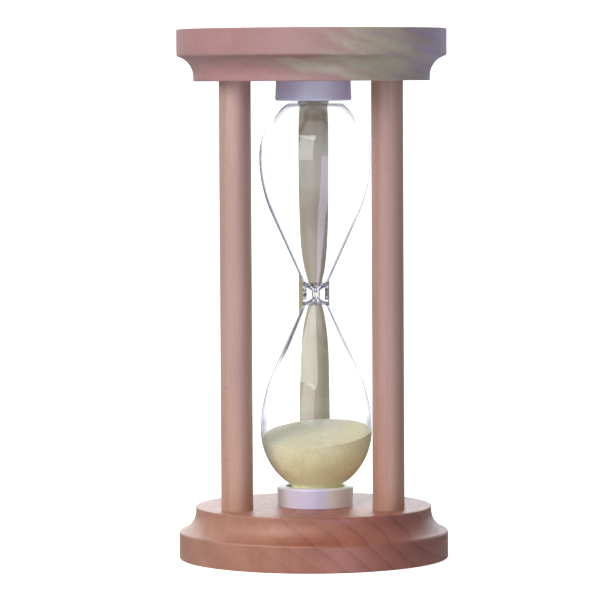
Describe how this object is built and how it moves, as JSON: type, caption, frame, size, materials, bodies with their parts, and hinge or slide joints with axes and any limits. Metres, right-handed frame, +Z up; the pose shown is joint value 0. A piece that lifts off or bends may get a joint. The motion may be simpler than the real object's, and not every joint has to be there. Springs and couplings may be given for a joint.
{
  "type": "hourglass",
  "caption": "Hourglass: a clear two-bulb glass of cream sand held between two turned beech discs joined by three round posts.",
  "frame": {"origin": "centre of the underside of the base disc, on the plane that the hourglass stands on", "axes": "+Z up along the axis of the frame; -Y is the front, between the two front posts, and +X is to the right seen from the front"},
  "size_m": [0.0808, 0.0808, 0.1586],
  "materials": {
    "base_beech": "turned and sanded beech with a thin satin finish",
    "top_beech": "turned and sanded beech with a thin satin finish",
    "post_beech": "sanded beech dowel",
    "rear_post_beech": "sanded beech dowel",
    "glass": "clear blown borosilicate glass",
    "cap_plastic": "moulded white plastic with a faint lavender tint",
    "bung_rubber": "moulded pale silicone rubber",
    "pad_felt": "pressed white felt",
    "sand": "fine dry cream sand"
  },
  "bodies": {
    "root": {"base_disc": "base_beech", "top_disc": "top_beech", "front_left_post": "post_beech", "front_right_post": "post_beech", "rear_post": "rear_post_beech", "upper_bulb": "glass", "lower_bulb": "glass", "upper_cap": "cap_plastic", "lower_cap": "cap_plastic", "upper_bung": "bung_rubber", "lower_bung": "bung_rubber", "upper_pad": "pad_felt", "lower_pad": "pad_felt", "sand": "sand"}
  },
  "joints": []
}
